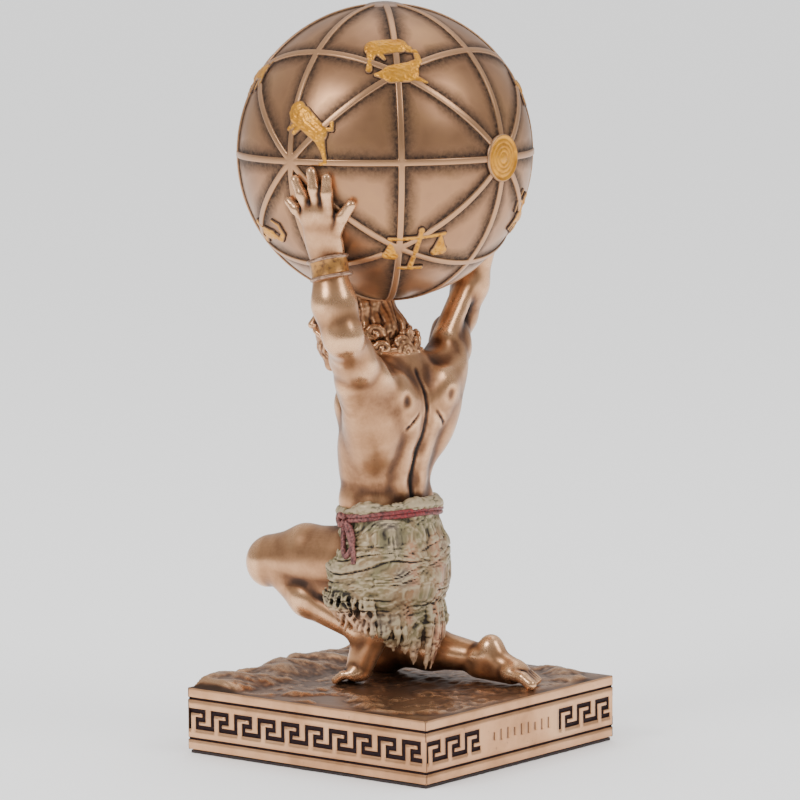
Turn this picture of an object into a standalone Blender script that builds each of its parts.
"""A kneeling Atlas bearing a celestial globe on a square plinth, cast in four pieces.

+Z is up, the figure faces -Y and its left side is +X. The origin is the centre of the
underside. The figure is one closed surface drawn from a field of smooth blended forms.
"""

import bmesh
import bpy
import numpy as np
from math import cos, pi, radians, sin

# Sizes in metres.
PLINTH_SIDE = 0.0840
PLINTH_H = 0.0172
PAD_T = 0.0008
CLEAR = 0.0003
RIM_BAND = 0.0026
KEY_BAND = 0.0105
GROOVE_W = 0.0007
GROOVE_D = 0.0007
KEY_PERIODS = 10
KEY_H = 0.0057
KEY_W = 0.0012
KEY_D = 0.0006
BARE_SHARE = 0.40
STROKE_H = 0.0030
GROUND_SIDE = 0.0760
GROUND_LIFT = 0.0004
ROCK_RISE = 0.0014
BANK_RISE = 0.0029
FIGURE_H = 0.1055
GLOBE_R = 0.0402
GLOBE_Y = -0.0041
RIB_W = 0.0016
RIB_H = 0.0006
SIGN_H = 0.0010
DISC_R = 0.0065
CAP_R = 0.0058
CAP_H = 0.0010
FIGURE_TRIS = 3020

PLINTH_Z = PAD_T + CLEAR
RIM_Z = PLINTH_Z + PLINTH_H
SEAT_Z = RIM_Z + GROUND_LIFT
GLOBE_Z = SEAT_Z + FIGURE_H + GLOBE_R + RIB_H


def clear_scene():
    """Empty the file of whatever it opened with."""
    for thing in list(bpy.data.objects):
        bpy.data.objects.remove(thing)


def material(name, colour, rough, metal):
    """A plain Principled material."""
    mat = bpy.data.materials.new(name)
    mat.use_nodes = True
    shade = mat.node_tree.nodes["Principled BSDF"]
    shade.inputs["Base Color"].default_value = (*colour, 1.0)
    shade.inputs["Roughness"].default_value = rough
    shade.inputs["Metallic"].default_value = metal
    return mat


def add_object(name, points, faces, mat=None, helper=False):
    """An object from points and faces, its faces turned to point outwards."""
    mesh = bpy.data.meshes.new(name)
    mesh.from_pydata([tuple(p) for p in points], [], [tuple(f) for f in faces])
    work = bmesh.new()
    work.from_mesh(mesh)
    bmesh.ops.recalc_face_normals(work, faces=work.faces)
    if work.calc_volume(signed=True) < 0:
        bmesh.ops.reverse_faces(work, faces=work.faces)
    work.to_mesh(mesh)
    work.free()
    thing = bpy.data.objects.new(name, mesh)
    bpy.context.scene.collection.objects.link(thing)
    if mat:
        mesh.materials.append(mat)
    if helper:
        thing.hide_render = True
        thing.display_type = "WIRE"
    return thing


def boolean(thing, other, operation):
    """Join or cut with the exact solver."""
    step = thing.modifiers.new(operation.title(), "BOOLEAN")
    step.operation = operation
    step.solver = "EXACT"
    step.object = other
    return step


class Clay:
    """A field of signed distances on a grid: forms are blended in, and grooves pressed."""

    def __init__(self, low, high, cell):
        self.cell = cell
        self.low = np.array(low, float)
        self.axes = [np.arange(low[i], high[i] + cell, cell) for i in range(3)]
        self.field = np.full([len(a) for a in self.axes], 9.0)

    def window(self, low, high):
        """The part of the grid in a box, as slices and coordinates that broadcast."""
        cuts = []
        for i in range(3):
            first = int(np.floor((low[i] - self.low[i]) / self.cell))
            last = int(np.ceil((high[i] - self.low[i]) / self.cell)) + 1
            size = len(self.axes[i])
            cuts.append(slice(min(max(first, 0), size), min(max(last, 0), size)))
        x = self.axes[0][cuts[0]][:, None, None]
        y = self.axes[1][cuts[1]][None, :, None]
        z = self.axes[2][cuts[2]][None, None, :]
        return tuple(cuts), x, y, z

    def add(self, low, high, distance, blend):
        """Blend a form in, softly over the width given."""
        margin = blend + 3 * self.cell
        cuts, x, y, z = self.window(np.array(low) - margin, np.array(high) + margin)
        new = distance(x, y, z)
        old = self.field[cuts]
        mix = np.clip(0.5 + 0.5 * (old - new) / blend, 0, 1)
        self.field[cuts] = old + (new - old) * mix - blend * mix * (1 - mix)

    def cut(self, low, high, distance, blend):
        """Take a form away, softly over the width given."""
        margin = blend + 3 * self.cell
        cuts, x, y, z = self.window(np.array(low) - margin, np.array(high) + margin)
        new = -distance(x, y, z)
        old = self.field[cuts]
        mix = np.clip(0.5 - 0.5 * (old - new) / blend, 0, 1)
        self.field[cuts] = old + (new - old) * mix + blend * mix * (1 - mix)

    def sample(self, points):
        """Distances at points, read from the nearest corner of the grid."""
        spots = np.round((points - self.low) / self.cell).astype(int)
        spots = np.clip(spots, 0, np.array(self.field.shape) - 1)
        return self.field[spots[:, 0], spots[:, 1], spots[:, 2]]


def limb_form(a, b, ra, rb, flat=None, share=1.0):
    """A round-ended bar from a to b, its radius running from ra to rb, flattened along flat."""
    a = np.array(a, float)
    b = np.array(b, float)
    along = b - a
    if flat is not None:
        flat = np.array(flat, float) / np.linalg.norm(flat)
        along = along + (1 / share - 1) * (along @ flat) * flat
    square = max(along @ along, 1e-9)
    reach = max(ra, rb)

    def distance(x, y, z):
        px, py, pz = x - a[0], y - a[1], z - a[2]
        if flat is not None:
            lean = (1 / share - 1) * (px * flat[0] + py * flat[1] + pz * flat[2])
            px, py, pz = px + lean * flat[0], py + lean * flat[1], pz + lean * flat[2]
        t = np.clip((px * along[0] + py * along[1] + pz * along[2]) / square, 0, 1)
        gap = np.sqrt(
            (px - t * along[0]) ** 2 + (py - t * along[1]) ** 2 + (pz - t * along[2]) ** 2
        )
        return (gap - ra - (rb - ra) * t) * (share if flat is not None else 1.0)

    return np.minimum(a, b) - reach, np.maximum(a, b) + reach, distance


def blob_form(centre, radii, lean=(0, 0, 0)):
    """An egg with three radii, turned by angles in degrees about X, then Y, then Z."""
    ax, ay, az = (radians(v) for v in lean)
    rx = np.array([[1, 0, 0], [0, cos(ax), -sin(ax)], [0, sin(ax), cos(ax)]])
    ry = np.array([[cos(ay), 0, sin(ay)], [0, 1, 0], [-sin(ay), 0, cos(ay)]])
    rz = np.array([[cos(az), -sin(az), 0], [sin(az), cos(az), 0], [0, 0, 1]])
    turn = rz @ ry @ rx
    centre = np.array(centre, float)
    radii = np.array(radii, float)

    def distance(x, y, z):
        px, py, pz = x - centre[0], y - centre[1], z - centre[2]
        total = 0
        steep = 1e-9
        for i in range(3):
            q = px * turn[0, i] + py * turn[1, i] + pz * turn[2, i]
            total = total + (q / radii[i]) ** 2
            steep = steep + (q / radii[i] ** 2) ** 2
        size = np.sqrt(total)
        return size * (size - 1) / np.sqrt(steep)

    return centre - radii.max(), centre + radii.max(), distance


def column_form(levels):
    """An upright oval body: each level gives height, middle y, half width, half depth."""
    table = np.array(levels, float)
    fine = np.linspace(table[0, 0], table[-1, 0], 200)
    smooth = []
    for k in (1, 2, 3):
        row = np.interp(fine, table[:, 0], table[:, k])
        padded = np.pad(row, 12, mode="edge")
        weights = np.hanning(27)[1:-1]
        smooth.append(np.convolve(padded, weights / weights.sum(), mode="valid")[: len(fine)])

    def distance(x, y, z):
        mid = np.interp(z, fine, smooth[0])
        wide = np.interp(z, fine, smooth[1])
        deep = np.interp(z, fine, smooth[2])
        size = np.sqrt((x / wide) ** 2 + ((y - mid) / deep) ** 2)
        side = (size - 1) * np.minimum(wide, deep)
        ends = np.maximum(table[0, 0] - z, z - table[-1, 0])
        return np.maximum(side, ends)

    wide = table[:, 2].max()
    deep = (np.abs(table[:, 1]) + table[:, 3]).max()
    return (-wide, -deep, table[0, 0]), (wide, deep, table[-1, 0]), distance


def path_forms(points, radii):
    """Bars joining each point of a path to the next."""
    return [
        limb_form(points[i], points[i + 1], radii[i], radii[i + 1])
        for i in range(len(points) - 1)
    ]


def surface_net(clay):
    """Points and outward quads of the zero surface: one point for each cell it crosses."""
    field = clay.field
    inside = field < 0
    shape = np.array(field.shape) - 1
    total = np.zeros((shape.prod(), 3))
    count = np.zeros(shape.prod())
    stride = np.array([shape[1] * shape[2], shape[2], 1])
    quads = []
    for axis in range(3):
        lower = tuple(slice(0, -1) if k == axis else slice(None) for k in range(3))
        upper = tuple(slice(1, None) if k == axis else slice(None) for k in range(3))
        spots = np.argwhere(inside[lower] != inside[upper])
        start = field[tuple(spots.T)]
        nxt = spots.copy()
        nxt[:, axis] += 1
        end = field[tuple(nxt.T)]
        place = spots.astype(float)
        place[:, axis] += start / (start - end)
        u, v = (axis + 1) % 3, (axis + 2) % 3
        ring = []
        for du, dv in ((-1, -1), (0, -1), (0, 0), (-1, 0)):
            cell = spots.copy()
            cell[:, u] += du
            cell[:, v] += dv
            index = cell @ stride
            ring.append(index)
            for k in range(3):
                total[:, k] += np.bincount(index, place[:, k], len(total))
            count += np.bincount(index, minlength=len(total))
        quad = np.stack(ring, 1)
        quad[start > 0] = quad[start > 0][:, ::-1]
        quads.append(quad)
    used = np.nonzero(count)[0]
    number = np.zeros(len(total), int)
    number[used] = np.arange(len(used))
    points = total[used] / count[used][:, None] * clay.cell + clay.low
    return points, number[np.concatenate(quads)]


def close_pinches(clay):
    """Fill the cells where two sheets of the surface would meet along one edge."""
    for _ in range(12):
        inside = clay.field < 0
        found = 0
        for axis in range(3):
            u, v = (axis + 1) % 3, (axis + 2) % 3
            cuts = []
            for du, dv in ((0, 0), (1, 0), (0, 1), (1, 1)):
                cut = [slice(None)] * 3
                cut[u] = slice(du, inside.shape[u] - 1 + du)
                cut[v] = slice(dv, inside.shape[v] - 1 + dv)
                cuts.append(tuple(cut))
            a, b, c, d = (inside[cut] for cut in cuts)
            for wrong, fills in (((a & d & ~b & ~c), 1), ((b & c & ~a & ~d), 0)):
                if wrong.any():
                    found += 1
                    part = clay.field[cuts[fills]]
                    part[wrong] = -0.05 * clay.cell
        if not found:
            return


def keep_largest(points, quads):
    """Only the biggest connected piece of a surface."""
    label = np.arange(len(points))
    ends = np.concatenate([quads[:, [0, 1]], quads[:, [1, 2]], quads[:, [2, 3]]])
    while True:
        low = np.minimum(label[ends[:, 0]], label[ends[:, 1]])
        before = label.copy()
        np.minimum.at(label, ends[:, 0], low)
        np.minimum.at(label, ends[:, 1], low)
        label = label[label]
        if (label == before).all():
            break
    best = np.bincount(label[quads[:, 0]]).argmax()
    quads = quads[label[quads[:, 0]] == best]
    used = np.unique(quads)
    number = np.zeros(len(points), int)
    number[used] = np.arange(len(used))
    return points[used], number[quads]


# The figure. Numbers are shares of its own height from seat to crown, in 1/105.5 parts.
PART = FIGURE_H / 105.5
BALL = np.array([0.0, GLOBE_Y, FIGURE_H + GLOBE_R + RIB_H]) / PART
BALL_R = (GLOBE_R + RIB_H) / PART
GAP = CLEAR / PART


def on_ball(lon, lat, lift):
    """A point over the globe by longitude from the figure's left and by latitude."""
    a, b = radians(lon), radians(lat)
    way = np.array([cos(b) * cos(a), cos(b) * sin(a), sin(b)])
    return BALL + way * (BALL_R + lift)


TORSO = (
    (28, -2.0, 15.0, 11.0),
    (38, -3.0, 15.6, 11.0),
    (46, -4.6, 13.4, 10.0),
    (51, -5.6, 12.9, 9.8),
    (59, -6.1, 14.4, 10.3),
    (66, -4.1, 17.0, 11.6),
    (73, -1.8, 18.2, 12.1),
    (80, -1.1, 16.8, 11.2),
    (86, -1.8, 12.4, 8.6),
    (91, -3.4, 8.0, 7.0),
)
SKIRT = (
    (-2, -0.6, 11.0, 9.4),
    (6, -1.8, 12.8, 11.2),
    (14, -3.4, 14.8, 11.8),
    (22, -3.8, 17.4, 13.2),
    (29, -3.5, 19.6, 15.4),
    (37, -3.2, 18.4, 14.6),
    (43, -3.0, 16.2, 12.8),
    (48, -3.2, 15.4, 11.8),
    (53, -3.2, 15.0, 11.4),
)
ARMS = (
    (1, (15.8, 0.5, 83.5), (35.6, 9.6, 99.5)),
    (-1, (-15.8, 1.0, 82.8), (-34.4, -5.4, 98.0)),
)


def build_torso(clay):
    """Trunk with the back's masses, the breast and the furrow of the spine."""
    clay.add(*column_form(TORSO), 3.0)
    for s in (-1, 1):
        clay.add(*blob_form((s * 8.0, -9.0, 77), (8.4, 5.0, 7.0), (12, 0, s * 14)), 2.6)
        clay.add(*blob_form((s * 10.2, 5.4, 78.5), (7.4, 5.0, 9.0), (-8, 0, -s * 18)), 3.0)
        clay.add(*limb_form((s * 14.6, 1.0, 75), (s * 9.0, -1.0, 57), 5.2, 3.0), 4.5)
        clay.add(*limb_form((s * 3.8, 0.9, 42), (s * 3.8, 0.4, 55), 3.6, 3.6), 2.5)
        clay.add(*limb_form((s * 3.8, 0.4, 55), (s * 4.4, 4.8, 73), 3.6, 4.2), 2.5)
        clay.add(*limb_form((s * 3.0, 0.0, 87), (s * 15.0, 1.5, 85.0), 5.0, 5.2), 4.0)
        clay.add(*blob_form((s * 9.4, -6.6, 50.5), (4.2, 6.2, 4.6)), 3.0)
        clay.add(*limb_form((s * 3.4, -12.2, 50), (s * 4.0, -13.0, 66), 3.4, 3.8), 2.0)
        clay.add(*limb_form((s * 16.5, 2.0, 80.0), (s * 12.0, 1.0, 66.0), 5.0, 3.6), 4.5)
        clay.add(*blob_form((s * 9.0, -0.6, 49.6), (4.4, 4.0, 4.6)), 3.0)
    blade = [(29.0, 6.8, 95.0), (19.0, 6.5, 87.0), (13.0, 5.2, 82.6)]
    for form in path_forms(blade, [3.9, 4.0, 4.4]):
        clay.add(*form, 3.5)
    clay.add(*limb_form((-25.0, -1.0, 92.0), (-11.0, 5.0, 82.0), 4.6, 4.8), 4.0)
    clay.add(*limb_form((-19.5, 0.9, 94.5), (-31.0, -0.8, 107.0), 3.4, 3.2), 3.5)
    clay.cut(*limb_form((-9.5, 7.4, 90.4), (-18.0, 7.2, 91.0), 2.2, 2.0), 3.0)
    clay.cut(*limb_form((6.5, 8.4, 92.0), (14.5, 9.6, 91.0), 2.4, 2.2), 3.0)
    back = [(0, 7.6, 47), (0, 7.0, 56), (0, 9.2, 64), (0, 12.4, 72), (0, 13.2, 80), (0, 10.2, 87)]
    for form in path_forms(back, [1.3, 1.4, 1.6, 1.8, 1.8, 1.5]):
        clay.cut(*form, 3.2)
    front = [(0, -16.4, 48), (0, -17.6, 58), (0, -16.8, 70), (0, -14.6, 80)]
    for form in path_forms(front, [1.3, 1.4, 1.4, 1.4]):
        clay.cut(*form, 1.6)


def build_arms(clay):
    """Raised arms from shoulder over elbow to the wrist, and the spread hands."""
    for s, shoulder, elbow in ARMS:
        shoulder = np.array(shoulder)
        elbow = np.array(elbow)
        lon = 12.5 if s > 0 else 167.5
        wrist = on_ball(lon, -33.5, 2.6)
        out = np.array([s * 0.8, 0.3, 0.0])
        clay.add(*blob_form(shoulder + (s * 2.0, 0.2, 2.2), (6.0, 6.0, 7.4), (0, s * 35, 0)), 3.6)
        slim = 1.0 if s > 0 else 0.88
        clay.add(*limb_form(shoulder, elbow, 6.0 * slim, 4.9 * slim), 3.6)
        mid = shoulder * 0.45 + elbow * 0.55
        clay.add(*limb_form(mid + (0, -2.0, 0.4), mid + (0, -1.4, 4.0), 4.6 * slim, 4.4 * slim), 2.5)
        clay.add(*limb_form(mid + (0, 2.2, -1.6), mid + (0, 1.0, 2.0), 4.4 * slim, 4.2 * slim), 2.5)
        swell = elbow * 0.62 + wrist * 0.38
        if s > 0:
            swell = swell + (0.8, -1.2, 0.0)
        clay.add(*limb_form(elbow, swell, 5.0 * slim, 5.6 * slim), 3.0)
        clay.add(*limb_form(swell, wrist, 5.5 * slim, 4.3 * slim, out, 0.9), 3.0)
        band = elbow * 0.32 + wrist * 0.68, elbow * 0.08 + wrist * 0.92
        if s > 0:
            clay.add(*limb_form(band[0], band[1], 5.3, 5.2), 0.5)
        heel = on_ball(lon, -29.0, 2.2)
        palm = on_ball(lon - s * 0.5, -21.5, 1.9)
        out = palm - BALL
        clay.add(*limb_form(wrist, heel, 4.2, 4.6, out, 0.75), 2.0)
        clay.add(*limb_form(heel, palm, 4.8, 5.4, out, 0.5), 2.0)
        for base, tip, thick in (
            ((-6.6, -20.5), (-13.6, -14.8), 1.5),
            ((-3.6, -18.0), (-9.2, -6.6), 1.6),
            ((0.4, -17.0), (-2.0, -3.4), 1.65),
            ((4.0, -17.5), (4.2, -5.6), 1.65),
            ((6.0, -25.0), (13.0, -15.6), 1.75),
        ):
            lons = lon + s * base[0], lon + s * tip[0]
            knee = (lons[0] * 0.5 + lons[1] * 0.5, base[1] * 0.45 + tip[1] * 0.55)
            line = [
                on_ball(lons[0], base[1], 1.6),
                on_ball(knee[0], knee[1], 1.5),
                on_ball(lons[1], tip[1], 0.9),
            ]
            for form in path_forms(line, [thick * 1.2, thick * 1.08, thick * 0.92]):
                clay.add(*form, 0.8)


HEAD_TURN = 35.0
HEAD_PIVOT = np.array([0.0, -9.0, 0.0])
HEAD_SHIFT = np.array([0.6, -2.2, 4.4])


def headed(p):
    """A point of the straight head carried to where the turned head is."""
    c, s = cos(radians(HEAD_TURN)), sin(radians(HEAD_TURN))
    x, y, z = np.array(p, float) - HEAD_PIVOT
    return HEAD_PIVOT + HEAD_SHIFT + (c * x - s * y, s * x + c * y, z)


def head_blob(centre, radii, lean=(0, 0, 0)):
    """An egg in the turned head."""
    return blob_form(headed(centre), radii, (lean[0], lean[1], lean[2] + HEAD_TURN))


def head_path(points, radii):
    """Bars along a path in the turned head."""
    return path_forms([headed(p) for p in points], radii)


HAIR_RING = (
    (84, 7.0), (87, 8.4), (90, 9.8), (93, 10.4), (95.5, 10.0), (98, 8.2), (101, 6.7), (104, 6.8), (110, 7.4),
)


def hair_spot(turn, height, lift=0.0):
    """A point over the hair's body by angle, height and lift."""
    rows = np.array(HAIR_RING)
    r = np.interp(height, rows[:, 0], rows[:, 1]) + lift
    mid = -6.0 - (height - 88) * 0.36
    return np.array([r * cos(turn), mid + 0.97 * r * sin(turn), height])


def build_head(clay):
    """The raised and turned head: skull, brow, nose, beard and the hair that meets the globe."""
    clay.add(*limb_form((0, -1.5, 86), (0.6, -9.5, 96), 7.6, 7.0), 3.0)
    clay.add(*head_blob((0, -11.5, 98.0), (8.0, 10.0, 9.4), (-22, 0, 0)), 2.5)
    clay.add(*head_blob((0, -15.5, 93.0), (6.0, 7.0, 8.2), (-34, 0, 0)), 2.0)
    for form in head_path([(0, -21.6, 97.4), (0, -23.4, 94.0)], [1.3, 1.7]):
        clay.add(*form, 1.0)
    for form in head_path([(-3.6, -20.3, 98.6), (3.6, -20.3, 98.6)], [1.6, 1.6]):
        clay.add(*form, 1.2)
    for form in head_path([(0, -18.4, 89.4), (0, -18.8, 83.6)], [5.4, 2.9]):
        clay.add(*form, 1.5)
    for s in (-1, 1):
        clay.cut(*head_blob((s * 3.1, -22.2, 96.4), (1.8, 1.5, 1.1)), 0.8)
        clay.add(*head_blob((s * 8.0, -9.0, 93.5), (1.6, 2.2, 3.0), (-20, 0, 0)), 0.8)
        for i in range(5):
            spot = (s * (6.3 + 0.5 * i), -15.2 + 0.7 * i, 88.6 + 2.8 * i)
            clay.add(*head_blob(spot, (1.9, 1.9, 1.9)), 0.8)
    for i in range(7):
        side = -1 + 2 * (i + 0.5) / 7
        spot = (side * 7.4, -16.9 + 7.0 * side**2, 102.0 - 1.4 * side**2)
        clay.add(*head_blob(spot, (2.0, 2.0, 2.0)), 0.8)
    column = [(0, -5.4, 87), (0, -8.6, 95.5), (0, -10.6, 101), (0, -13.4, 111)]
    for form in path_forms(column, [8.4, 8.8, 6.6, 7.3]):
        clay.add(*form, 1.0)
    for k, (height, count) in enumerate(((85.6, 11), (88.8, 12), (92.0, 12), (95.2, 12), (98.0, 10))):
        for i in range(count):
            turn = radians(-40 + 262 * (i + 0.5 * (k % 2) + 0.25) / count)
            clay.add(*blob_form(hair_spot(turn, height, 0.2), (2.2, 2.2, 2.2)), 0.8)


def build_legs(clay):
    """The left leg bent with its knee up and heel raised, the right one kneeling."""
    hip, knee, ankle = (8.5, -3.0, 33.4), (11.0, -37.2, 31.8), (11.2, -5.4, 15.2)
    clay.add(*limb_form(hip, knee, 9.6, 6.6), 3.0)
    clay.add(*limb_form((9.6, -12.0, 36.4), (10.4, -25.0, 37.0), 6.6, 5.4), 3.0)
    clay.add(*limb_form((10.4, -25.0, 37.0), (10.8, -36.0, 33.6), 5.2, 4.4), 3.0)
    clay.add(*blob_form((11.0, -38.8, 30.4), (5.4, 5.4, 6.4)), 2.5)
    clay.add(*limb_form(knee, (11.6, -23.0, 22.6), 4.8, 5.6), 1.6)
    clay.add(*limb_form((11.6, -23.0, 22.6), ankle, 5.6, 3.6), 2.0)
    clay.add(*limb_form(ankle, (10.6, 0.6, 16.2), 3.9, 4.0), 1.8)
    clay.add(*limb_form((10.6, 0.4, 15.4), (11.2, -4.2, 4.6), 3.9, 2.7, (0, 1, 0.35), 0.8), 1.8)
    clay.add(*limb_form((10.8, -4.4, 13.0), (11.4, -6.8, 4.4), 3.2, 2.8), 2.0)
    clay.add(*blob_form((11.4, -5.8, 3.2), (4.6, 3.0, 2.6)), 1.2)
    for i in range(5):
        side = -4.2 + 2.1 * i
        reach = 12.4 - 0.7 * abs(i - 1)
        thick = 1.6 if i == 0 else 1.15
        knuckle = (11.8 + side * 0.95, -8.6 + 0.2 * abs(i - 1), 2.9)
        toe = [(11.4 + side * 0.75, -5.4, 3.0), knuckle, (12.0 + side, -reach, 1.2)]
        for form in path_forms(toe, [thick * 1.05, thick, thick * 0.95]):
            clay.add(*form, 0.35)
    hip, knee, ankle = (-8.5, -3.0, 33.0), (-9.4, -12.6, 6.6), (-11.6, 19.0, 6.6)
    clay.add(*limb_form(hip, knee, 9.6, 6.8), 3.0)
    clay.add(*blob_form((-9.4, -13.6, 5.6), (6.0, 5.6, 6.2)), 2.5)
    clay.add(*limb_form(knee, (-10.6, 2.0, 7.6), 5.4, 5.8), 2.0)
    clay.add(*limb_form((-10.6, 2.0, 7.6), ankle, 5.8, 3.9), 2.5)
    clay.add(*blob_form((-11.8, 22.4, 9.6), (3.5, 3.6, 3.9)), 1.8)
    clay.add(*blob_form((-9.0, 19.0, 7.6), (1.6, 1.8, 1.8)), 1.0)
    clay.add(*limb_form((-11.8, 22.0, 7.0), (-12.0, 30.0, 4.6), 3.8, 2.9), 2.4)
    clay.add(*limb_form((-11.6, 18.0, 4.0), (-12.0, 29.0, 2.8), 3.2, 2.6), 2.0)
    clay.add(*blob_form((-12.0, 30.8, 3.8), (4.4, 3.6, 2.9)), 1.4)
    for i in range(5):
        side = 3.6 - 1.8 * i
        reach = 38.4 - 0.8 * i
        thick = 1.6 if i == 0 else 1.2
        knuckle = (-12.2 + side * 0.95, reach - 2.8, 3.2)
        toe = [(-12.2 + side * 0.75, 31.0, 3.6), knuckle, (-12.4 + side, reach, 1.5)]
        for form in path_forms(toe, [thick * 1.1, thick, thick]):
            clay.add(*form, 0.35)


def around(clay, turn, height, middle=(1.0, -4.0)):
    """The outer point of a form at an angle and height: the last filled sample along a ray."""
    reach = np.arange(4.0, 34.0, 0.2)
    ray = np.stack(
        [middle[0] + reach * cos(turn), middle[1] + reach * sin(turn), 0 * reach + height], 1
    )
    full = np.nonzero(clay.sample(ray) < 0)[0]
    return ray[full.max() if len(full) else 0]


FLAPS = (
    (8, 20.0, 10, 15.6, 3.0), (17, 20.0, 18, 14.4, 3.2), (27, 20.0, 29, 13.0, 3.4), (37, 20.0, 40, 11.4, 3.6),
    (46, 20.0, 48, 9.6, 3.4), (55, 20.0, 54, 12.6, 2.6), (64, 20.0, 65, 8.4, 2.3), (72, 20.0, 73, 13.4, 2.0),
    (80, 20.0, 81, 5.0, 2.4), (90, 20.0, 91, 10.0, 2.6), (102, 20.0, 102, 9.0, 3.2), (114, 20.0, 115, 8.0, 3.4),
    (128, 20.0, 130, 10.0, 3.4), (142, 20.0, 144, 12.0, 3.4), (156, 20.0, 158, 11.0, 3.4),
)


def hang_strip(clay, turn, top, turn_tip, tip, wide):
    """One torn strip of the hide: a flat bar that tapers from the lower edge to a tip."""
    a, b = radians(turn), radians(turn_tip)
    out = np.array([cos(a), sin(a), 0.0])
    east = np.array([-sin(a), cos(a), 0.0])
    first = around(clay, a, top) - 0.9 * out
    last = first + east * 9.0 * (b - a) - 0.7 * out
    last[2] = tip
    clay.add(*limb_form(first, last, wide, 0.45 * wide, out, 0.5), 0.8)


def build_skirt(clay):
    """The hide tied round the hips: its body over the thighs, a rolled rim, torn strips, a cord."""
    hide_clay = Clay(clay.low + clay.cell * np.array([18, 14, 1]), (32, 22, 58), clay.cell)
    low, high, body = column_form(SKIRT)

    def hide(x, y, z):
        turn = np.arctan2(y + 3.0, x)
        fold = 0.35 * np.sin(13 * turn + 0.16 * z) + 0.3 * np.sin(0.62 * z + 3 * np.sin(2 * turn))
        hem = 17.0 + 3.0 * np.clip((0.45 - turn) / 0.5, 0, 1) + 0.8 * np.sin(9 * turn)
        top = 48.1 + (0.60 * x + 1.80 * (y + 3.2)) / 15.0
        return np.maximum(np.maximum(body(x, y, z) - 0.3 + fold, hem - z), z - top)

    hide_clay.add(low, high, hide, 0.8)
    hide_clay.add(*limb_form((9.0, -5.0, 30), (10.6, -8.2, 29.6), 11.8, 10.6), 2.0)
    hide_clay.add(*limb_form((-9.0, -6.0, 28), (-9.6, -11.0, 17.0), 11.4, 9.2), 2.0)
    hide_clay.add(*limb_form((0, -8.0, 38), (0, -15.0, 18.0), 9.0, 4.0, (0, 1, 0), 0.6), 2.0)
    turns = np.linspace(0, 2 * pi, 37)
    levels = 48.1 + 1.9 * np.cos(turns - 1.25)
    rim = [(15.0 * cos(t), -3.3 + 11.5 * sin(t), h) for t, h in zip(turns, levels)]
    for form in path_forms(rim, [1.6] * len(rim)):
        hide_clay.add(*form, 1.0)
    for turn, top, turn_tip, tip, wide in FLAPS:
        hang_strip(hide_clay, turn, top, turn_tip, tip, wide)
    for i in range(14):
        turn = -92 + 8.6 * i
        tip = np.interp(turn, (-92, -35, 24), (20.5, 19.5, 16.0))
        hang_strip(hide_clay, turn, 24.0, turn + 1.5, tip, 1.9)
    for i in range(12):
        turn = 166 + 8.6 * i
        hang_strip(hide_clay, turn, 19.0, turn + 1.5, np.interp(turn, (166, 264), (11, 15)), 2.2)
    level = 46.2 + 2.0 * np.cos(turns - 1.25)
    ring = []
    for t, h in zip(turns, level):
        ring.append(around(hide_clay, t, h) + 0.3 * np.array([cos(t), sin(t), 0.0]))
    cord = list(path_forms(ring, [1.15] * len(ring)))
    for line, thick in (
        (((-8, 46.8), (-16, 46.6), (-8, 45.2)), 1.1),
        (((-10, 45.6), (-8, 41.0), (1, 37.0), (5, 40.5), (-6, 45.4)), 1.0),
        (((-6, 45.4), (8, 38.0), (9.4, 34.8)), 1.0),
    ):
        spots = [around(hide_clay, radians(turn), height) for turn, height in line]
        cord += path_forms(spots, [thick] * len(spots))
    for form in cord:
        hide_clay.add(*form, 0.4)
    first = np.round((hide_clay.low - clay.low) / clay.cell).astype(int)
    cuts = tuple(slice(f, f + n) for f, n in zip(first, hide_clay.field.shape))
    clay.field[cuts] = np.minimum(clay.field[cuts], hide_clay.field)


def figure_surface(cell):
    """The whole figure, cut to fit the globe above it and the ground below."""
    clay = Clay((-52, -54, -4), (52, 46, 152), cell)
    build_torso(clay)
    build_arms(clay)
    build_head(clay)
    build_legs(clay)
    build_skirt(clay)
    x = clay.axes[0][:, None, None]
    y = clay.axes[1][None, :, None]
    z = clay.axes[2][None, None, :]
    ball = BALL_R + GAP - np.sqrt((x - BALL[0]) ** 2 + (y - BALL[1]) ** 2 + (z - BALL[2]) ** 2)
    clay.field = np.maximum(np.maximum(clay.field, ball), GAP - z)
    close_pinches(clay)
    return keep_largest(*surface_net(clay))


def make_figure(mat):
    """The figure as a mesh thinned to its share of the faces."""
    points, quads = figure_surface(1.25)
    out = points - BALL
    far = np.linalg.norm(out, axis=1)
    near = far < BALL_R + GAP
    points[near] = BALL + out[near] * ((BALL_R + GAP) / far[near])[:, None]
    points[:, 2] = np.maximum(points[:, 2], GAP)
    thing = add_object("atlas_figure", points * PART + (0, 0, SEAT_Z), quads, mat)
    thin = thing.modifiers.new("Thin", "DECIMATE")
    thin.ratio = FIGURE_TRIS / (2 * len(quads))
    return thing


def panel_corners():
    """The forty-eight triangles that nine great circles draw on a ball."""
    found = []
    for i in range(3):
        for j in range(3):
            if i == j:
                continue
            for a in (-1, 1):
                for b in (-1, 1):
                    for c in (-1, 1):
                        k = 3 - i - j
                        pole = np.zeros(3)
                        pole[i] = a
                        edge = pole.copy()
                        edge[j] = b
                        mid = edge.copy()
                        mid[k] = c
                        found.append([v / np.linalg.norm(v) for v in (pole, edge, mid)])
    return found


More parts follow.
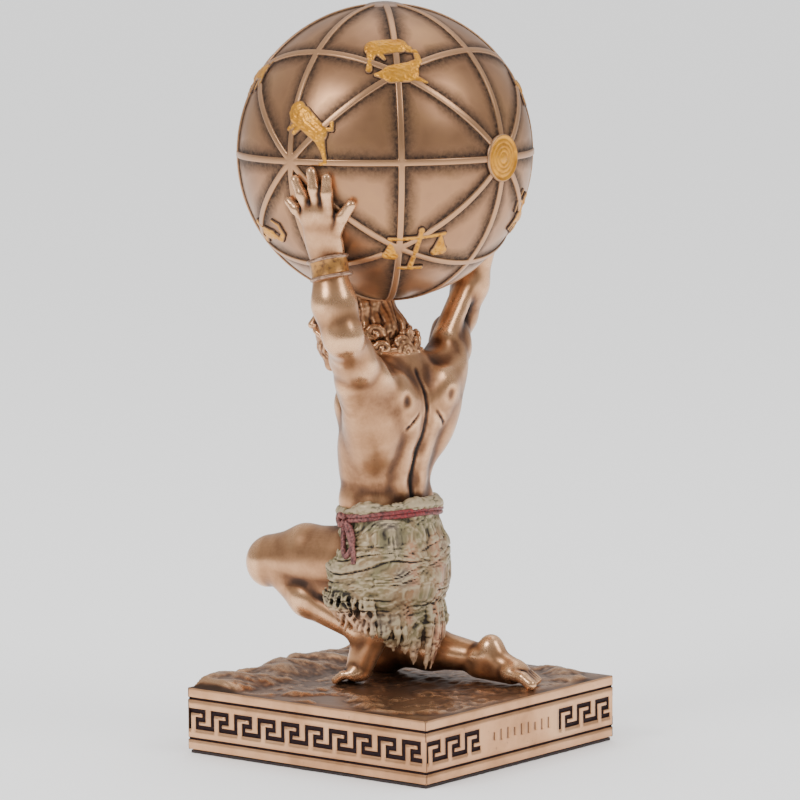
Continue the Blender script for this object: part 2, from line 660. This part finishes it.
def make_globe(mat):
    """A ball ribbed along nine great circles, with its disc, cap and twelve signs."""
    steps = 3
    points = []
    faces = []
    half = RIB_W / 2
    for corners in panel_corners():
        if np.linalg.det(np.array(corners)) < 0:
            corners = [corners[0], corners[2], corners[1]]
        corners = np.array(corners)
        planes = [np.cross(corners[i], corners[(i + 1) % 3]) for i in range(3)]
        planes = [p / np.linalg.norm(p) for p in planes]
        inner = []
        for i in range(3):
            rows = np.array([planes[i - 1], planes[i]])
            way = np.cross(rows[0], rows[1])
            base = np.linalg.lstsq(rows, np.array([half, half]) / GLOBE_R, rcond=None)[0]
            way = way / np.linalg.norm(way)
            way = way if way @ corners[i] > 0 else -way
            inner.append(base + way * np.sqrt(1 - base @ base))
        inner = np.array(inner)

        def arc(p, q, t):
            mix = p * (1 - t) + q * t
            return mix / np.linalg.norm(mix)

        grid = {}
        for a in range(steps + 1):
            for b in range(steps + 1 - a):
                c = steps - a - b
                mix = (inner[0] * c + inner[1] * a + inner[2] * b) / steps
                if c == 0 or a == 0 or b == 0:
                    pair = [(0, c), (1, a), (2, b)]
                    live = [(i, n) for i, n in pair if n]
                    mix = inner[live[0][0]] * live[0][1]
                    if len(live) > 1:
                        mix = arc(inner[live[0][0]], inner[live[1][0]], live[1][1] / steps)
                grid[a, b] = mix / np.linalg.norm(mix)

        def put(p):
            points.append(p)
            return len(points) - 1

        low = {key: put(p * GLOBE_R) for key, p in grid.items()}
        for a in range(steps):
            for b in range(steps - a):
                faces.append((low[a, b], low[a + 1, b], low[a, b + 1]))
                if a + b < steps - 1:
                    faces.append((low[a + 1, b], low[a + 1, b + 1], low[a, b + 1]))
        borders = (
            (0, 1, [(a, 0) for a in range(steps + 1)]),
            (1, 2, [(steps - b, b) for b in range(steps + 1)]),
            (2, 0, [(0, steps - b) for b in range(steps + 1)]),
        )
        for i, j, keys in borders:
            for n in range(steps):
                p, q = grid[keys[n]], grid[keys[n + 1]]
                ends = [arc(corners[i], corners[j], m / steps) for m in (n, n + 1)]
                top = [put(v * (GLOBE_R + RIB_H)) for v in (p, q)]
                line = [put(v * (GLOBE_R + RIB_H)) for v in ends]
                faces.append((low[keys[n]], top[0], top[1], low[keys[n + 1]]))
                faces.append((top[0], line[0], line[1], top[1]))
    points = np.array(points)
    _, first, number = np.unique(
        np.round(points * 1e6 + 0.317).astype(np.int64), axis=0, return_index=True, return_inverse=True
    )
    faces = [tuple(number.reshape(-1)[list(f)]) for f in faces]
    thing = add_object("celestial_globe", points[first], faces, mat)
    place = np.array([0.0, GLOBE_Y, GLOBE_Z])
    shift_mesh(thing, place)
    extra = make_signs()
    shift_mesh(extra, place)
    boolean(thing, extra, "UNION")
    settle(thing)
    return thing


def settle(thing):
    """Apply an object's modifiers and keep its largest connected body."""
    graph = bpy.context.evaluated_depsgraph_get()
    mesh = bpy.data.meshes.new_from_object(thing.evaluated_get(graph))
    thing.modifiers.clear()
    thing.data = mesh
    work = bmesh.new()
    work.from_mesh(mesh)
    left = set(work.verts)
    bodies = []
    while left:
        body = [left.pop()]
        for vert in body:
            for edge in vert.link_edges:
                other = edge.other_vert(vert)
                if other in left:
                    left.remove(other)
                    body.append(other)
        bodies.append(body)
    bodies.sort(key=len)
    for body in bodies[:-1]:
        bmesh.ops.delete(work, geom=body, context="VERTS")
    work.to_mesh(mesh)
    work.free()


def shift_mesh(thing, place):
    """Move an object's points, leaving its origin where it is."""
    co = np.empty(len(thing.data.vertices) * 3, np.float32)
    thing.data.vertices.foreach_get("co", co)
    thing.data.vertices.foreach_set("co", (co.reshape(-1, 3) + place).astype(np.float32).ravel())
    thing.data.update()


# Each sign: its longitude, latitude and turn, then bars in the plane of the sign as
# (x, y, x, y, radius, radius) with x to the right and y up, seen from outside.
FISH = (
    (-5.6, 6.4, 2.0, 5.8, 3.5, 3.2),
    (2.0, 5.8, 5.0, 4.4, 3.0, 1.3),
    (-6.6, 5.0, -8.2, 0.8, 2.0, 1.0),
    (-8.2, 0.8, -9.0, -1.6, 1.0, 1.3),
    (-4.4, 3.4, -3.4, 1.2, 1.2, 0.7),
    (-2.4, -4.8, 2.8, -4.8, 3.4, 3.8),
    (-4.4, -4.6, -7.2, -4.0, 2.2, 0.9),
    (3.4, -3.8, 7.0, -1.0, 2.8, 1.4),
    (7.0, -1.0, 6.8, 3.0, 1.4, 1.0),
    (6.8, 3.0, 4.4, 3.4, 1.0, 0.9),
    (4.0, -6.8, 8.2, -9.0, 1.5, 0.7),
)
BEAST = (
    (-6.0, 2.4, 1.6, -1.4, 3.6, 3.1),
    (-8.4, 4.0, -7.4, 2.8, 3.2, 3.8),
    (-10.4, 2.6, -9.8, 2.0, 1.2, 1.4),
    (-7.6, -0.2, -9.6, -2.4, 1.4, 1.0),
    (-5.8, -0.8, -7.4, -3.2, 1.3, 1.0),
    (2.0, -2.4, 4.4, -6.2, 2.2, 1.2),
    (4.4, -6.2, 6.2, -9.8, 1.1, 0.9),
    (6.2, -9.8, 4.4, -10.6, 0.9, 0.8),
    (2.8, 0.2, 5.6, 0.8, 0.9, 0.8),
    (5.6, 0.8, 4.8, 2.8, 0.8, 1.0),
)
SCALES = (
    (1.2, 6.0, -0.6, -8.0, 1.0, 1.1),
    (1.3, 6.8, 1.3, 6.9, 1.2, 1.2),
    (-4.2, -8.6, 3.0, -8.6, 1.0, 1.0),
    (-8.6, 3.4, 9.2, 5.0, 0.9, 0.9),
    (-8.0, 2.6, -7.6, -2.2, 0.6, 2.3),
    (-8.8, -3.2, -6.2, -3.2, 1.7, 1.7),
    (8.0, 4.4, 8.0, -0.8, 0.6, 2.5),
    (6.8, -1.8, 9.2, -1.8, 1.8, 1.8),
)
BULL = (
    (-4.0, 1.0, 3.8, 1.0, 3.0, 2.6),
    (-6.8, 2.8, -4.4, 1.6, 1.8, 2.2),
    (-7.4, 4.2, -8.4, 6.4, 0.7, 0.5),
    (-6.0, 4.4, -5.2, 6.6, 0.7, 0.5),
    (-4.4, -1.0, -5.8, -5.6, 1.1, 0.8),
    (-2.2, -1.0, -2.2, -5.4, 1.0, 0.8),
    (3.0, -0.8, 2.4, -5.4, 1.2, 0.8),
    (4.6, -0.4, 6.0, -5.4, 1.2, 0.8),
    (6.0, 2.2, 8.0, 5.0, 0.6, 0.6),
)
TWINS = (
    (-3.0, 5.6, -3.0, 5.8, 1.5, 1.5),
    (3.0, 5.6, 3.0, 5.8, 1.5, 1.5),
    (-3.0, 3.2, -3.0, -0.6, 1.9, 1.5),
    (3.0, 3.2, 3.0, -0.6, 1.9, 1.5),
    (-3.4, -1.0, -4.4, -7.0, 1.2, 0.8),
    (-2.4, -1.0, -1.4, -7.0, 1.2, 0.8),
    (3.4, -1.0, 4.4, -7.0, 1.2, 0.8),
    (2.4, -1.0, 1.4, -7.0, 1.2, 0.8),
    (-2.6, 3.4, 2.6, 3.4, 0.9, 0.9),
    (-4.4, 3.0, -6.6, -0.6, 0.8, 0.7),
    (4.4, 3.0, 6.6, -0.6, 0.8, 0.7),
)
CRAB = (
    (-1.6, -0.4, 1.6, -0.4, 3.6, 3.6),
    (-4.0, 2.2, -6.4, 4.8, 0.9, 1.2),
    (-6.4, 4.8, -3.2, 6.6, 1.3, 0.7),
    (4.0, 2.2, 6.4, 4.8, 0.9, 1.2),
    (6.4, 4.8, 3.2, 6.6, 1.3, 0.7),
    (-4.4, 0.0, -8.0, 0.8, 0.7, 0.5),
    (-4.4, -1.8, -7.8, -2.8, 0.7, 0.5),
    (-3.4, -3.2, -6.2, -5.8, 0.7, 0.5),
    (4.4, 0.0, 8.0, 0.8, 0.7, 0.5),
    (4.4, -1.8, 7.8, -2.8, 0.7, 0.5),
    (3.4, -3.2, 6.2, -5.8, 0.7, 0.5),
)
LION = (
    (-3.0, 0.8, 4.0, 0.2, 2.6, 2.2),
    (-5.4, 2.8, -4.4, 1.6, 3.0, 2.8),
    (-7.6, 2.0, -6.6, 2.8, 1.3, 1.5),
    (-4.6, -1.2, -6.0, -5.4, 1.2, 0.9),
    (-2.8, -1.0, -1.8, -5.4, 1.1, 0.9),
    (4.0, -0.8, 3.2, -5.4, 1.5, 0.9),
    (5.0, -0.8, 6.8, -5.2, 1.3, 0.9),
    (5.8, 0.8, 8.6, 2.6, 0.7, 0.6),
    (8.6, 2.6, 7.4, 5.4, 0.6, 1.1),
)
MAIDEN = (
    (0, 6.4, 0, 6.6, 1.6, 1.6),
    (0, 4.0, 0, 0.6, 1.9, 1.5),
    (0, 0.6, 0.4, -6.4, 1.8, 3.4),
    (-1.2, 3.8, -4.4, 1.6, 0.9, 0.7),
    (-4.4, 1.6, -5.4, 5.0, 0.6, 0.9),
    (1.2, 3.8, 4.2, 2.6, 0.9, 0.7),
    (4.2, 2.6, 5.8, 5.0, 0.7, 0.6),
)
SCORPION = (
    (-2.6, 0.4, 1.4, 0.0, 2.4, 2.0),
    (-4.2, 1.8, -6.6, 3.8, 0.8, 1.0),
    (-6.6, 3.8, -8.6, 2.4, 1.2, 0.6),
    (-4.2, -1.0, -6.8, -2.8, 0.8, 1.0),
    (-6.8, -2.8, -8.8, -1.2, 1.2, 0.6),
    (1.4, 0.0, 4.6, -1.8, 1.6, 1.2),
    (4.6, -1.8, 7.6, 0.2, 1.2, 1.0),
    (7.6, 0.2, 7.4, 3.6, 1.0, 0.8),
    (7.4, 3.6, 4.6, 5.2, 0.8, 0.5),
)
ARCHER = (
    (-1.6, 5.6, -1.6, 5.8, 1.5, 1.5),
    (-1.4, 4.0, -0.8, 0.6, 1.8, 1.6),
    (-0.6, -0.4, 5.0, -0.6, 2.2, 2.2),
    (-1.2, -1.4, -3.0, -5.8, 1.1, 0.8),
    (0.4, -1.6, 0.2, -5.8, 1.0, 0.8),
    (4.6, -1.6, 3.6, -5.8, 1.2, 0.8),
    (5.8, -1.2, 6.8, -5.6, 1.2, 0.8),
    (-1.4, 3.6, -6.0, 3.4, 0.8, 0.7),
    (-6.4, 7.0, -7.8, 3.4, 0.5, 0.6),
    (-7.8, 3.4, -6.4, -0.2, 0.6, 0.5),
)
GOAT = (
    (-3.6, 1.2, 2.4, 0.4, 2.5, 2.2),
    (-6.0, 3.2, -4.4, 2.0, 1.6, 2.0),
    (-5.4, 4.8, -3.0, 6.6, 0.8, 0.5),
    (-4.4, -0.6, -6.6, -3.6, 1.0, 0.8),
    (-2.8, -0.8, -3.4, -4.8, 1.0, 0.8),
    (2.4, 0.4, 5.8, -2.6, 2.0, 1.3),
    (5.8, -2.6, 8.2, -0.2, 1.2, 0.8),
    (8.2, -0.2, 7.2, 2.4, 0.8, 1.3),
)
BEARER = (
    (-1.0, 6.0, -1.0, 6.2, 1.6, 1.6),
    (-0.8, 4.0, 0.0, 0.0, 1.9, 1.6),
    (-0.4, -0.6, -2.2, -6.6, 1.3, 0.8),
    (0.6, -0.6, 2.2, -6.4, 1.3, 0.8),
    (0.4, 3.6, 4.2, 3.2, 0.9, 0.8),
    (4.2, 4.6, 5.6, 2.0, 1.3, 1.5),
    (5.6, 1.4, 5.0, -3.4, 0.9, 0.7),
    (5.0, -3.4, 7.4, -6.2, 0.8, 1.0),
)
SIGNS = (
    (44.6, 41.0, 8, FISH),
    (11.0, 13.0, -12, BEAST),
    (52.5, -35.5, 0, SCALES),
    (-24.0, -31.0, 0, SCORPION),
    (-42.0, 32.0, 18, BULL),
    (-90.0, -26.0, 0, TWINS),
    (-132.0, 28.0, -10, CRAB),
    (-90.0, 40.0, 0, LION),
    (-140.0, -24.0, 6, MAIDEN),
    (116.0, -24.0, -14, ARCHER),
    (129.0, 25.0, 10, GOAT),
    (160.0, 15.0, 6, BEARER),
)


def bar_gap(x, y, bar):
    """Distance in a plane to a round-ended bar whose radius runs from one end to the other."""
    x0, y0, x1, y1, r0, r1 = bar
    dx, dy = x1 - x0 + 1e-6, y1 - y0
    t = np.clip(((x - x0) * dx + (y - y0) * dy) / (dx * dx + dy * dy), 0, 1)
    return np.hypot(x - x0 - t * dx, y - y0 - t * dy) - r0 - (r1 - r0) * t


def outline_of(bars, scale, cell=0.3, slack=0.5):
    """The outer outline of a sign's bars: walked cell by cell round the field, then thinned."""
    axis = np.arange(-11.0, 11.0 + cell, cell)
    x, y = axis[:, None], axis[None, :]
    field = np.full((len(axis), len(axis)), 9.0)
    for x0, y0, x1, y1, r0, r1 in bars:
        size = [x0 * scale, y0 * scale, x1 * scale, y1 * scale]
        size += [max(r0 * scale, 0.5), max(r1 * scale, 0.5)]
        field = np.minimum(field, bar_gap(x, y, size))
    inside = field < 0
    following = {}
    spots = {}
    for axis_no in (0, 1):
        lower = inside[:-1, :] if axis_no == 0 else inside[:, :-1]
        upper = inside[1:, :] if axis_no == 0 else inside[:, 1:]
        for i, j in np.argwhere(lower != upper):
            k = (i + 1, j) if axis_no == 0 else (i, j + 1)
            t = field[i, j] / (field[i, j] - field[k])
            place = np.array([i + t, j]) if axis_no == 0 else np.array([i, j + t])
            if axis_no == 0:
                pair = [(i, j - 1), (i, j)]
            else:
                pair = [(i, j), (i - 1, j)]
            if field[i, j] > 0:
                pair.reverse()
            following.setdefault(pair[0], []).append(pair[1])
            for spot in pair:
                spots.setdefault(spot, []).append(place)
    loops = []
    while following:
        start = here = next(iter(following))
        loop = []
        while here in following:
            loop.append(np.mean(spots[here], axis=0) * cell + axis[0])
            onward = following[here].pop()
            if not following[here]:
                del following[here]
            here = onward
            if here == start:
                break
        loops.append(np.array(loop))

    def area(loop):
        turned = np.roll(loop, -1, axis=0)
        return (loop[:, 0] * turned[:, 1] - loop[:, 1] * turned[:, 0]).sum() / 2

    return thin_loop(max(loops, key=area), slack)


def thin_loop(loop, slack):
    """A closed outline with the points left out that lie near the line of their neighbours."""

    def thin(first, last):
        if last - first < 2:
            return []
        a, b = loop[first], loop[last % len(loop)]
        way = b - a
        away = loop[first + 1 : last] - a
        gaps = np.abs(away[:, 0] * way[1] - away[:, 1] * way[0]) / max(np.hypot(*way), 1e-9)
        if gaps.max() < slack:
            return []
        mid = first + 1 + int(gaps.argmax())
        return thin(first, mid) + [mid] + thin(mid, last)

    far = int(np.hypot(*(loop - loop[0]).T).argmax())
    keep = [0] + thin(0, far) + [far] + thin(far, len(loop))
    return loop[keep]


def make_signs():
    """One helper mesh holding the twelve signs, the discs and the cap, all as low prisms."""
    points = []
    faces = []

    def prism(rings):
        count = len(rings[0])
        first = len(points)
        for ring in rings:
            points.extend(ring)
        last = first + count * (len(rings) - 1)
        faces.append(tuple(range(first + count - 1, first - 1, -1)))
        faces.append(tuple(range(last, last + count)))
        for n in range(len(rings) - 1):
            for i in range(count):
                a, b = first + n * count + i, first + n * count + (i + 1) % count
                faces.append((a, b, b + count, a + count))

    for lon, lat, turn, bars in SIGNS:
        a, b, t = radians(lon), radians(lat), radians(turn)
        way = np.array([cos(b) * cos(a), cos(b) * sin(a), sin(b)])
        right = np.array([-sin(a), cos(a), 0.0])
        up = np.cross(way, right)
        across = right * cos(t) + up * sin(t)
        rise = up * cos(t) - right * sin(t)
        loop = outline_of(bars, 0.86) / 1000
        rings = []
        for height in (GLOBE_R - 0.0030, GLOBE_R + SIGN_H * 0.75):
            rings.append([way * height + across * p[0] + rise * p[1] for p in loop])
        prism(rings)
    for way, radius, tall in (
        ((0, 1, 0), DISC_R, SIGN_H),
        ((0, -1, 0), DISC_R, SIGN_H),
        ((0, 0, 1), CAP_R, CAP_H),
    ):
        way = np.array(way, float)
        side = np.array([1.0, 0.0, 0.0])
        other = np.cross(way, side)
        edge = np.sqrt(GLOBE_R**2 - radius**2)
        rings = []
        for r, height in ((radius, edge - 0.002), (radius, edge + tall), (radius * 0.6, GLOBE_R + tall)):
            ring = []
            for i in range(12):
                t = 2 * pi * i / 12
                ring.append(way * height + (side * cos(t) + other * sin(t)) * r)
            rings.append(ring)
        prism(rings)
    return add_object("sign_forms", points, faces, None, helper=True)


def meander(period):
    """The centre line of one turn of the key, as shares of its period and of its height."""
    return [
        (0.07, 0.0),
        (0.07, 1.0),
        (0.70, 1.0),
        (0.70, 0.5),
        (0.41, 0.5),
        (0.41, 0.0),
        (1.07, 0.0),
    ]


def stroke_outline(line, half):
    """The outline of a right-angled line of the given half width."""
    left = []
    right = []
    line = [np.array(p, float) for p in line]
    for i, here in enumerate(line):
        before = here - line[i - 1] if i else line[1] - here
        after = line[i + 1] - here if i < len(line) - 1 else before
        before = before / np.linalg.norm(before)
        after = after / np.linalg.norm(after)
        n0 = np.array([-before[1], before[0]])
        n1 = np.array([-after[1], after[0]])
        shift = (n0 + n1) * half / (1 + n0 @ n1)
        if i == 0:
            shift = n0 * half
        left.append(here + shift)
        right.append(here - shift)
    return left + right[::-1]


def key_cutters(turn, spans):
    """Prisms that cut the key into one side, each span given as (start, periods)."""
    period = PLINTH_SIDE / KEY_PERIODS
    base = PLINTH_Z + PLINTH_H - RIM_BAND - GROOVE_W - KEY_BAND / 2 - (KEY_H - KEY_W) / 2
    tall = KEY_H - KEY_W
    shapes = []
    for start, count in spans:
        line = []
        for n in range(count):
            for u, v in meander(period)[: 6 if n < count - 1 else 7]:
                line.append((start + (n + u) * period, base + v * tall))
        line[-1] = (start + count * period - 0.30 * period * 0.6, line[-1][1])
        shapes.append(stroke_outline(line, KEY_W / 2))
    points = []
    faces = []
    for outline in shapes:
        count = len(outline)
        first = len(points)
        for depth in (-0.002, KEY_D):
            for x, z in outline:
                place = np.array([x, -PLINTH_SIDE / 2 + depth, z])
                points.append(spin(place, turn))
        faces.append(tuple(range(first, first + count)))
        faces.append(tuple(range(first + 2 * count - 1, first + count - 1, -1)))
        for i in range(count):
            k = (i + 1) % count
            faces.append((first + i, first + k, first + count + k, first + count + i))
    return points, faces


def spin(place, turn):
    """Turn a place about the upright axis by quarter turns."""
    c, s = ((1, 0), (0, 1), (-1, 0), (0, -1))[turn]
    return np.array([c * place[0] - s * place[1], s * place[0] + c * place[1], place[2]])


def mark_cutters():
    """A row of shallow slanted strokes on the bare middle of the back side."""
    points = []
    faces = []
    mid = PLINTH_Z + PLINTH_H - RIM_BAND - GROOVE_W - KEY_BAND / 2
    span = PLINTH_SIDE * BARE_SHARE * 0.72
    count = 9
    for i in range(count):
        x = -span / 2 + span * i / (count - 1)
        tall = STROKE_H * (1.0 if i % 3 else 0.7)
        lean = 0.0004
        box = [
            (x - 0.0003, mid - tall / 2),
            (x + 0.0003, mid - tall / 2),
            (x + 0.0003 + lean, mid + tall / 2),
            (x - 0.0003 + lean, mid + tall / 2),
        ]
        first = len(points)
        for depth in (-0.002, KEY_D * 0.5):
            for px, pz in box:
                points.append(spin(np.array([px, -PLINTH_SIDE / 2 + depth, pz]), 2))
        faces.append((first, first + 1, first + 2, first + 3))
        faces.append((first + 7, first + 6, first + 5, first + 4))
        for k in range(4):
            n = (k + 1) % 4
            faces.append((first + k, first + n, first + 4 + n, first + 4 + k))
    return points, faces


def rock_height(x, y):
    """Height of the ground over its seat: flat under the figure, broken further out."""
    dx = np.abs(x - 0.001) / 0.022
    dy = np.abs(y - 0.011) / 0.031
    away = np.clip(np.maximum(dx, dy) - 1.0, 0, 1)
    wave = 0.45 * np.sin(x * 310 + 1.2) * np.cos(y * 270 - 0.4) + 0.30 * np.sin(x * 150 - y * 190)
    wave = wave + 0.25 * np.sin(x * 520 + y * 430 + 0.7)
    bank = np.clip((-0.0215 - y) / 0.011, 0, 1)
    bank = bank * bank * (3 - 2 * bank) * (0.86 + 0.14 * np.sin(x * 170 + 0.9))
    return ROCK_RISE * wave * np.clip(away * 2.2, 0, 1) + BANK_RISE * bank


def make_ground():
    """The broken ground as a helper block sunk into the plinth."""
    sides = 28
    rings = (1.0, 0.93, 0.82, 0.66, 0.48, 0.26)
    points = []
    faces = []
    for n, share in enumerate(rings):
        for i in range(sides):
            t = 2 * pi * (i + 0.5) / sides
            square = 1 / max(abs(cos(t)), abs(sin(t)))
            ragged = 1 - 0.028 * (1 + sin(5 * t + 1.0) * sin(8 * t)) * (n == 0)
            r = GROUND_SIDE / 2 * share * (0.9 * square + 0.1) * ragged
            r = min(r, GROUND_SIDE / 2 * share * 1.33)
            x, y = r * cos(t), r * sin(t)
            z = SEAT_Z + rock_height(x, y)
            if n == 0:
                z = RIM_Z + 0.0002
            points.append((x, y, max(z, RIM_Z + 0.0002)))
    for n in range(len(rings) - 1):
        for i in range(sides):
            k = (i + 1) % sides
            a, b = n * sides, (n + 1) * sides
            faces.append((a + i, a + k, b + k, b + i))
    last = (len(rings) - 1) * sides
    faces.append(tuple(range(last, last + sides)))
    base = len(points)
    for i in range(sides):
        points.append((points[i][0], points[i][1], RIM_Z - 0.004))
    for i in range(sides):
        k = (i + 1) % sides
        faces.append((base + i, base + k, k, i))
    faces.append(tuple(range(base + sides - 1, base - 1, -1)))
    return add_object("ground_form", points, faces, None, helper=True)


def make_plinth(mat):
    """The square plinth: banded sides with the key, and broken ground on top."""
    top = RIM_Z
    g1 = top - RIM_BAND
    g2 = g1 - GROOVE_W - KEY_BAND
    half = PLINTH_SIDE / 2
    profile = (
        (half, PLINTH_Z),
        (half, g2 - GROOVE_W),
        (half - GROOVE_D, g2 - GROOVE_W / 2),
        (half, g2),
        (half, g1 - GROOVE_W),
        (half - GROOVE_D, g1 - GROOVE_W / 2),
        (half, g1),
        (half, top),
    )
    points = []
    faces = []
    for r, z in profile:
        points.extend([(-r, -r, z), (r, -r, z), (r, r, z), (-r, r, z)])
    faces.append((3, 2, 1, 0))
    last = 4 * (len(profile) - 1)
    faces.append((last, last + 1, last + 2, last + 3))
    for n in range(len(profile) - 1):
        for i in range(4):
            k = (i + 1) % 4
            faces.append((4 * n + i, 4 * n + k, 4 * n + 4 + k, 4 * n + 4 + i))
    thing = add_object("plinth", points, faces, mat)
    boolean(thing, make_ground(), "UNION")
    period = PLINTH_SIDE / KEY_PERIODS
    full = [(-PLINTH_SIDE / 2, KEY_PERIODS)]
    ends = int(round(KEY_PERIODS * (1 - BARE_SHARE) / 2))
    split = [(-PLINTH_SIDE / 2, ends), (PLINTH_SIDE / 2 - ends * period, ends)]
    points = []
    faces = []
    for turn, spans in ((0, full), (1, full), (2, split), (3, full)):
        p, f = key_cutters(turn, spans)
        faces.extend([tuple(i + len(points) for i in face) for face in f])
        points.extend(p)
    p, f = mark_cutters()
    faces.extend([tuple(i + len(points) for i in face) for face in f])
    points.extend(p)
    boolean(thing, add_object("key_cutter", points, faces, None, helper=True), "DIFFERENCE")
    return thing


def make_pad(mat):
    """The thin dark pad under the plinth."""
    half = PLINTH_SIDE / 2 - 0.0006
    points = []
    for z in (0.0, PAD_T):
        points.extend([(-half, -half, z), (half, -half, z), (half, half, z), (-half, half, z)])
    faces = [(3, 2, 1, 0), (4, 5, 6, 7)]
    faces.extend([(i, (i + 1) % 4, (i + 1) % 4 + 4, i + 4) for i in range(4)])
    return add_object("felt_pad", points, faces, mat)


clear_scene()
make_pad(material("pad_felt", (0.03, 0.02, 0.02), 0.95, 0.0))
make_plinth(material("plinth_bronze", (0.42, 0.24, 0.15), 0.42, 0.6))
make_figure(material("figure_bronze", (0.36, 0.20, 0.13), 0.38, 0.6))
make_globe(material("globe_bronze", (0.33, 0.19, 0.12), 0.40, 0.6))
